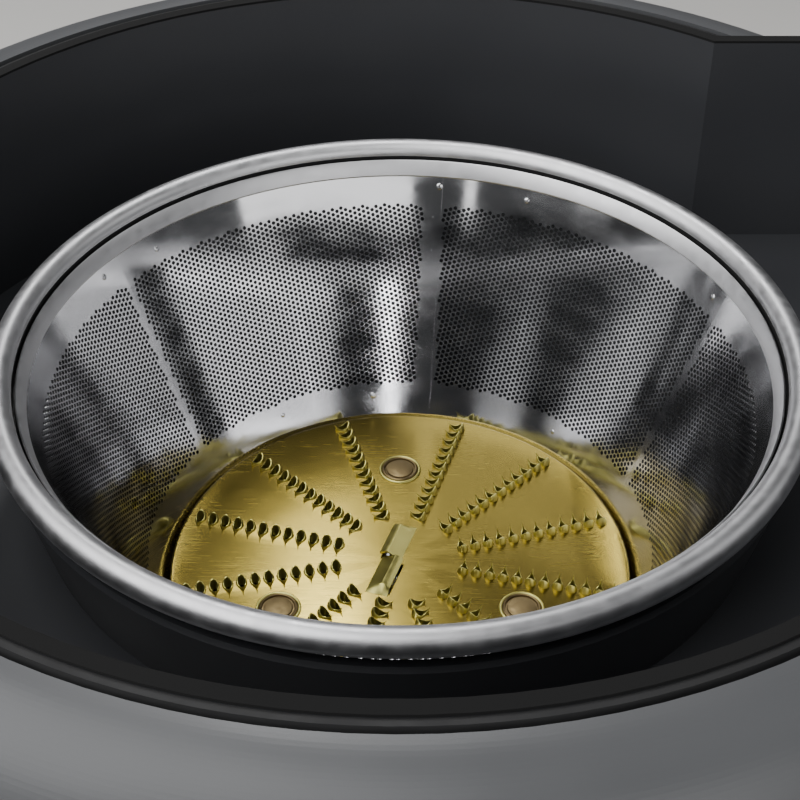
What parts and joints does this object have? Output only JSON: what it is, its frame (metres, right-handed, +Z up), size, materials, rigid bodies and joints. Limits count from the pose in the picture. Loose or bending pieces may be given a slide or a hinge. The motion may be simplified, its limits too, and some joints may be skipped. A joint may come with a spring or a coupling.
{
  "type": "centrifugal juicer",
  "caption": "Centrifugal juicer with its lid off: dark bowl around a spinning perforated basket with a gold grating disc, over a round motor housing with a pulp bin.",
  "frame": {"origin": "middle of the whole box's footprint, on the surface that the machine stands on", "axes": "+X towards the pulp bin, +Y towards the power inlet at the back, +Z up; the knob faces -Y and the spout -X"},
  "size_m": [0.447, 0.375, 0.263],
  "materials": {
    "dark_housing": "fine spark-eroded texture",
    "grey_collar": "satin",
    "inner_plastic": "satin",
    "black_rubber": "matt",
    "screw_steel": "zinc plated",
    "lamination_steel": "stacked sheet",
    "copper_wire": "enamelled",
    "copper_bar": "turned",
    "cast_alloy": "die cast",
    "bearing_steel": "ground",
    "brass_sheet": "rolled",
    "carbon": "pressed",
    "green_laminate": "coated",
    "yellow_moulding": "dipped",
    "black_moulding": "satin",
    "rim_steel": "polished",
    "screen_steel": "bright rolled, perforated",
    "coated_steel": "brushed, gold nitride coating",
    "rivet_brass": "satin",
    "bowl_plastic": "semi-gloss",
    "red_silicone": "satin",
    "bin_plastic": "semi-gloss",
    "white_nylon": "satin",
    "clamp_plastic": "satin"
  },
  "bodies": {
    "housing": {"housing_shell": "dark_housing", "housing_collar": "grey_collar", "motor_deck": "inner_plastic", "base_plate": "inner_plastic", "rubber_feet": "black_rubber", "base_screws": "screw_steel", "deck_screws": "screw_steel", "mount_screws": "screw_steel", "stator_core": "lamination_steel", "field_windings": "copper_wire", "upper_bracket": "cast_alloy", "lower_bracket": "cast_alloy", "upper_bearing": "bearing_steel", "lower_bearing": "bearing_steel", "tie_rods": "screw_steel", "motor_mounts": "black_rubber", "brush_holders": "brass_sheet", "carbon_brushes": "carbon", "brush_springs": "bearing_steel", "shaft_seal": "black_rubber", "control_panel": "grey_collar", "rotary_switch": "black_moulding", "control_board": "green_laminate", "board_posts": "inner_plastic", "filter_capacitor": "yellow_moulding", "power_inlet": "black_moulding", "inlet_pins": "bearing_steel", "interlock_switch": "black_moulding", "interlock_spring": "bearing_steel", "clamp_pins": "bearing_steel"},
    "spinner": {"motor_shaft": "bearing_steel", "armature_core": "lamination_steel", "armature_windings": "copper_wire", "commutator": "copper_bar", "cooling_fan": "inner_plastic", "drive_coupling": "black_moulding"},
    "basket": {"basket_rim": "rim_steel", "basket_screen": "screen_steel", "basket_floor": "rim_steel", "basket_hub": "black_moulding", "grating_disc": "coated_steel", "grating_teeth": "coated_steel", "core_blades": "coated_steel", "disc_rivets": "rivet_brass"},
    "bowl": {"juice_bowl": "bowl_plastic", "bowl_gasket": "black_rubber", "spout_ring": "red_silicone"},
    "nozzle": {"spout_nozzle": "bowl_plastic"},
    "bin": {"pulp_bin": "bin_plastic"},
    "knob": {"speed_knob": "black_moulding", "switch_shaft": "screw_steel"},
    "plunger": {"interlock_plunger": "white_nylon"},
    "front_clamp": {"clamp_front": "clamp_plastic"},
    "back_clamp": {"clamp_back": "clamp_plastic"}
  },
  "joints": [
    {"name": "spin", "type": "hinge", "parent": "housing", "child": "spinner", "pos_m": [-0.0275, 0, 0.1], "axis": [0, 0, 1], "continuous": true},
    {"name": "basket_lift", "type": "slide", "parent": "spinner", "child": "basket", "axis": [0, 0, 1], "range_m": [0, 0.12]},
    {"name": "bowl_lift", "type": "slide", "parent": "housing", "child": "bowl", "axis": [0, 0, 1], "range_m": [0, 0.12]},
    {"name": "spout_turn", "type": "hinge", "parent": "bowl", "child": "nozzle", "pos_m": [-0.2075, 0, 0.162], "axis": [1, 0, 0], "range_deg": [0, 95]},
    {"name": "bin_slide", "type": "slide", "parent": "housing", "child": "bin", "axis": [1, 0, 0], "range_m": [0, 0.16]},
    {"name": "knob_turn", "type": "hinge", "parent": "housing", "child": "knob", "pos_m": [-0.0275, -0.15, 0.08], "axis": [0, -1, 0], "range_deg": [-45, 90]},
    {"name": "interlock_press", "type": "slide", "parent": "housing", "child": "plunger", "axis": [0, 0, -1], "range_m": [0, 0.003], "stiffness_N_per_m": 400, "springref_m": -0.004, "deforming": ["interlock_spring"]},
    {"name": "front_clamp_turn", "type": "hinge", "parent": "housing", "child": "front_clamp", "pos_m": [-0.0275, -0.151, 0.2168], "axis": [-1, 0, 0], "range_deg": [0, 165]},
    {"name": "back_clamp_turn", "type": "hinge", "parent": "housing", "child": "back_clamp", "pos_m": [-0.0275, 0.151, 0.2168], "axis": [1, 0, 0], "range_deg": [0, 165]}
  ],
  "couplings": [
    {"joint": "basket_lift", "follows": "bowl_lift", "ratio": 1}
  ]
}
